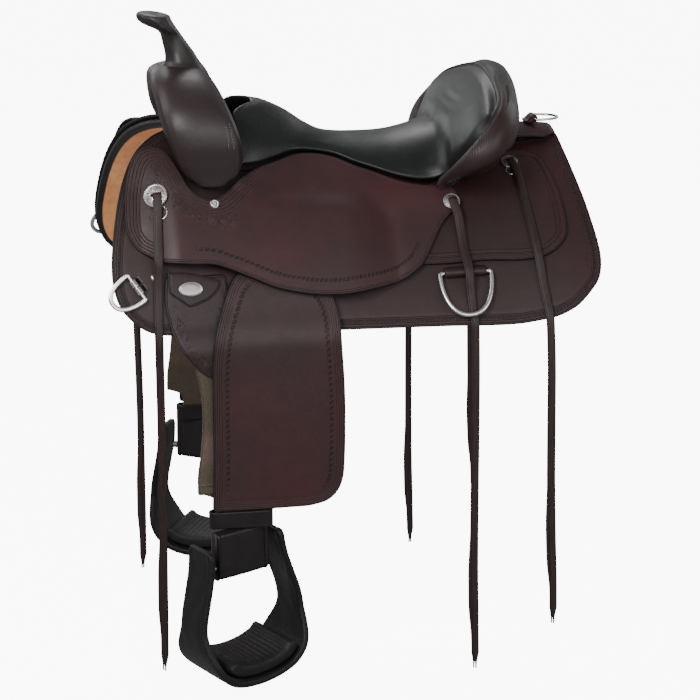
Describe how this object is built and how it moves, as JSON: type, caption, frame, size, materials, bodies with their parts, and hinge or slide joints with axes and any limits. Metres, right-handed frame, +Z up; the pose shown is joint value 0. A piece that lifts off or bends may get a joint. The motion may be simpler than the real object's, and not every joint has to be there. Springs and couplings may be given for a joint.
{
  "type": "western trail saddle",
  "caption": "Western trail saddle with padded seat, horn, swell fork, square skirts, hanging fenders, turning bell stirrups, swinging dees and long leather saddle strings.",
  "frame": {"origin": "on the centre plane of the horse's back, under the lowest part of the seat, 45 mm below the top edges of the skirts", "axes": "+Z up, -X towards the horse's head and the horn, -Y towards the near (left) side"},
  "size_m": [0.7075, 0.661, 0.9584],
  "materials": {
    "brown_leather": "oiled, dark, glossy",
    "seat_leather": "satin, padded",
    "stirrup_leather": "satin",
    "string_leather": "satin",
    "lining": "smooth, natural",
    "tree": "sealed, hidden",
    "webbing": "woven",
    "hardware": "bright, cast"
  },
  "bodies": {
    "root": {"breast_dee_clip_left": "hardware", "breast_dee_clip_right": "hardware", "cantle_binding": "brown_leather", "concho_front_left": "hardware", "concho_front_right": "hardware", "concho_mid_left": "hardware", "concho_mid_right": "hardware", "concho_rear_left": "hardware", "concho_rear_right": "hardware", "crupper_dee_tab": "brown_leather", "flank_dee_tab_left": "brown_leather", "flank_dee_tab_right": "brown_leather", "ground_seat": "tree", "horn": "brown_leather", "rear_bridge": "brown_leather", "rear_jockey_left": "brown_leather", "rear_jockey_right": "brown_leather", "rigging_badge_left": "hardware", "rigging_badge_right": "hardware", "rigging_leather_left": "brown_leather", "rigging_leather_right": "brown_leather", "seat_jockey_left": "brown_leather", "seat_jockey_right": "brown_leather", "seat_pad": "seat_leather", "skirt_left": "brown_leather", "skirt_lining_left": "lining", "skirt_lining_right": "lining", "skirt_right": "brown_leather", "string_front_upper_left": "string_leather", "string_front_upper_right": "string_leather", "string_mid_left": "string_leather", "string_mid_right": "string_leather", "string_rear_left": "string_leather", "string_rear_right": "string_leather", "swell_cover": "brown_leather", "tree_bar_left": "tree", "tree_bar_right": "tree", "tree_cantle": "tree", "tree_fork": "tree"},
    "fender_left": {"fender_left": "brown_leather", "stirrup_strap_left": "webbing", "hobble_strap_left": "brown_leather"},
    "stirrup_neck_left": {"stirrup_neck_left": "stirrup_leather", "neck_pin_left": "hardware"},
    "stirrup_left": {"stirrup_frame_left": "stirrup_leather", "stirrup_tread_left": "stirrup_leather"},
    "front_string_left": {"string_front_lower_left": "string_leather"},
    "breast_dee_left": {"breast_dee_left": "hardware"},
    "flank_dee_left": {"flank_dee_left": "hardware"},
    "fender_right": {"fender_right": "brown_leather", "stirrup_strap_right": "webbing", "hobble_strap_right": "brown_leather"},
    "stirrup_neck_right": {"stirrup_neck_right": "stirrup_leather", "neck_pin_right": "hardware"},
    "stirrup_right": {"stirrup_frame_right": "stirrup_leather", "stirrup_tread_right": "stirrup_leather"},
    "front_string_right": {"string_front_lower_right": "string_leather"},
    "breast_dee_right": {"breast_dee_right": "hardware"},
    "flank_dee_right": {"flank_dee_right": "hardware"},
    "crupper_dee": {"crupper_dee": "hardware"}
  },
  "joints": [
    {"name": "fender_swing_left", "type": "hinge", "parent": "root", "child": "fender_left", "pos_m": [-0.135, -0.15, 0.004], "axis": [0, 1, 0], "range_deg": [-10, 10]},
    {"name": "stirrup_turn_left", "type": "hinge", "parent": "fender_left", "child": "stirrup_neck_left", "pos_m": [-0.2, -0.25, -0.459], "axis": [0, 0, 1], "range_deg": [-28, 62]},
    {"name": "stirrup_pivot_left", "type": "hinge", "parent": "stirrup_neck_left", "child": "stirrup_left", "pos_m": [-0.2, -0.25, -0.512], "axis": [-0.8829, -0.4695, 0], "range_deg": [-15, 15]},
    {"name": "front_string_swing_left", "type": "hinge", "parent": "root", "child": "front_string_left", "pos_m": [-0.31, -0.2355, -0.18], "axis": [0, 1, 0], "range_deg": [-15, 15]},
    {"name": "breast_dee_swing_left", "type": "hinge", "parent": "root", "child": "breast_dee_left", "pos_m": [-0.338, -0.21635, -0.10564], "axis": [-0.5591, 0.288, 0.7775], "range_deg": [0, 100]},
    {"name": "flank_dee_swing_left", "type": "hinge", "parent": "root", "child": "flank_dee_left", "pos_m": [0.1315, -0.21327, -0.1048], "axis": [-0.997, 0.0611, -0.0471], "range_deg": [0, 110]},
    {"name": "fender_swing_right", "type": "hinge", "parent": "root", "child": "fender_right", "pos_m": [-0.135, 0.15, 0.004], "axis": [0, 1, 0], "range_deg": [-10, 10]},
    {"name": "stirrup_turn_right", "type": "hinge", "parent": "fender_right", "child": "stirrup_neck_right", "pos_m": [-0.2, 0.25, -0.459], "axis": [0, 0, -1], "range_deg": [-28, 62]},
    {"name": "stirrup_pivot_right", "type": "hinge", "parent": "stirrup_neck_right", "child": "stirrup_right", "pos_m": [-0.2, 0.25, -0.512], "axis": [0.8829, -0.4695, 0], "range_deg": [-15, 15]},
    {"name": "front_string_swing_right", "type": "hinge", "parent": "root", "child": "front_string_right", "pos_m": [-0.31, 0.2355, -0.18], "axis": [0, 1, 0], "range_deg": [-15, 15]},
    {"name": "breast_dee_swing_right", "type": "hinge", "parent": "root", "child": "breast_dee_right", "pos_m": [-0.338, 0.21635, -0.10564], "axis": [0.5591, 0.288, -0.7775], "range_deg": [0, 100]},
    {"name": "flank_dee_swing_right", "type": "hinge", "parent": "root", "child": "flank_dee_right", "pos_m": [0.1315, 0.21327, -0.1048], "axis": [0.997, 0.0611, 0.0471], "range_deg": [0, 110]},
    {"name": "crupper_dee_swing", "type": "hinge", "parent": "root", "child": "crupper_dee", "pos_m": [0.278, 0, 0.0732], "axis": [0, -1, 0], "range_deg": [0, 120]}
  ],
  "couplings": [
    {"joint": "front_string_swing_left", "follows": "fender_swing_left", "ratio": 1.45},
    {"joint": "front_string_swing_right", "follows": "fender_swing_right", "ratio": 1.45}
  ]
}
